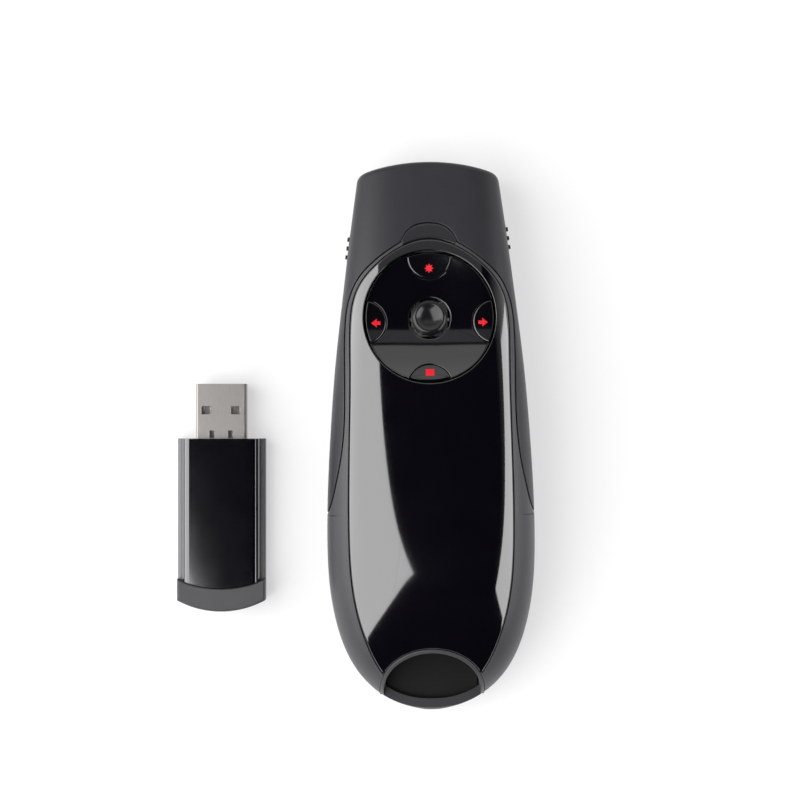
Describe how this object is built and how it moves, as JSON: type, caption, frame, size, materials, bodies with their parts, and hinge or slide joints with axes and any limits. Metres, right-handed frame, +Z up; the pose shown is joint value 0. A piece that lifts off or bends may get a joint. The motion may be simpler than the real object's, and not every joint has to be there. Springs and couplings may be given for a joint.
{
  "type": "wireless presentation clicker",
  "caption": "Handheld wireless presentation clicker with tapered nose, gloss insert, control dish of buttons round a joystick, tail bay with finger cut-out, and separate plug-in USB receiver.",
  "frame": {"origin": "on the flat underside, at the centre of the clicker's outline", "axes": "+Y toward the nose with the laser window, +Z up out of the control dish, +X to the user's right; the receiver lies beside the clicker on the -X side with its plug toward +Y"},
  "size_m": [0.0844, 0.1289, 0.0274],
  "materials": {
    "charcoal_matte": "fine matte moulded",
    "black_gloss": "high gloss",
    "button_gloss": "high gloss with red printed symbols",
    "smoked_window": "smoked, satin",
    "nub_black": "satin",
    "slider_black": "matte",
    "switch_black": "matte",
    "bay_black": "matte",
    "receiver_side": "matte",
    "steel": "plain",
    "plug_steel": "plain nickel plate",
    "screw_black": "black zinc",
    "brass": "plain",
    "board_green": "solder mask",
    "cell_wrap": "printed sleeve, plain",
    "tongue_white": "plain",
    "clear_window": "clear red tinted"
  },
  "bodies": {
    "clicker": {"lower_shell": "charcoal_matte", "nose_cover": "charcoal_matte", "rear_frame": "charcoal_matte", "gloss_panel": "black_gloss", "status_window": "smoked_window", "control_dish": "black_gloss", "tact_switches": "switch_black", "joystick_base": "switch_black", "slide_switches": "switch_black", "laser_window": "clear_window", "laser_barrel": "brass", "laser_lens": "clear_window", "laser_diode": "steel", "main_board": "board_green", "radio_chip": "switch_black", "radio_crystal": "steel", "board_antenna": "brass", "status_light": "clear_window", "board_screws": "steel", "case_screws": "screw_black", "battery_left": "cell_wrap", "battery_right": "cell_wrap", "battery_contacts": "steel", "battery_springs": "steel", "receiver_bay": "bay_black", "receiver_catch": "steel"},
    "laser_button": {"laser_button": "button_gloss"},
    "back_button": {"back_button": "button_gloss"},
    "forward_button": {"forward_button": "button_gloss"},
    "blank_button": {"blank_button": "button_gloss"},
    "joystick_yoke": {"joystick_yoke": "steel"},
    "joystick": {"joystick_stem": "steel", "joystick_cap": "nub_black"},
    "power_switch": {"power_switch": "slider_black"},
    "mode_switch": {"mode_switch": "slider_black"},
    "battery_lid": {"battery_cover": "charcoal_matte"},
    "receiver": {"receiver_base": "receiver_side", "receiver_shell": "black_gloss", "receiver_end_cap": "receiver_side", "receiver_board": "board_green", "receiver_chip": "switch_black", "receiver_crystal": "steel", "receiver_light": "clear_window", "usb_shell": "plug_steel", "usb_tongue": "tongue_white", "usb_contacts": "brass"}
  },
  "joints": [
    {"name": "laser_button_press", "type": "slide", "parent": "clicker", "child": "laser_button", "axis": [0, -0.1167, -0.9932], "range_m": [0, 0.0005], "stiffness_N_per_m": 1200, "springref_m": -0.0002},
    {"name": "back_button_press", "type": "slide", "parent": "clicker", "child": "back_button", "axis": [0, -0.1167, -0.9932], "range_m": [0, 0.0005], "stiffness_N_per_m": 1200, "springref_m": -0.0002},
    {"name": "forward_button_press", "type": "slide", "parent": "clicker", "child": "forward_button", "axis": [0, -0.1167, -0.9932], "range_m": [0, 0.0005], "stiffness_N_per_m": 1200, "springref_m": -0.0002},
    {"name": "blank_button_press", "type": "slide", "parent": "clicker", "child": "blank_button", "axis": [0, -0.1167, -0.9932], "range_m": [0, 0.0005], "stiffness_N_per_m": 1200, "springref_m": -0.0002},
    {"name": "joystick_pitch", "type": "hinge", "parent": "clicker", "child": "joystick_yoke", "pos_m": [0, 0.02746, 0.01958], "axis": [1, 0, 0], "range_deg": [-8, 8], "stiffness_Nm_per_rad": 0.02},
    {"name": "joystick_roll", "type": "hinge", "parent": "joystick_yoke", "child": "joystick", "pos_m": [0, 0.02746, 0.01958], "axis": [0, 0.9932, -0.1167], "range_deg": [-8, 8], "stiffness_Nm_per_rad": 0.02},
    {"name": "power_slide", "type": "slide", "parent": "clicker", "child": "power_switch", "axis": [0.1255, 0.9921, 0], "range_m": [0, 0.0021]},
    {"name": "mode_slide", "type": "slide", "parent": "clicker", "child": "mode_switch", "axis": [-0.1255, 0.9921, 0], "range_m": [-0.0021, 0]},
    {"name": "battery_lid_hinge", "type": "hinge", "parent": "clicker", "child": "battery_lid", "pos_m": [0, 0.0426, 0.00075], "axis": [1, 0, 0], "range_deg": [0, 60]},
    {"name": "receiver_lift", "type": "slide", "parent": "clicker", "child": "receiver", "axis": [0, 0, 1], "range_m": [0, 0.1]}
  ]
}
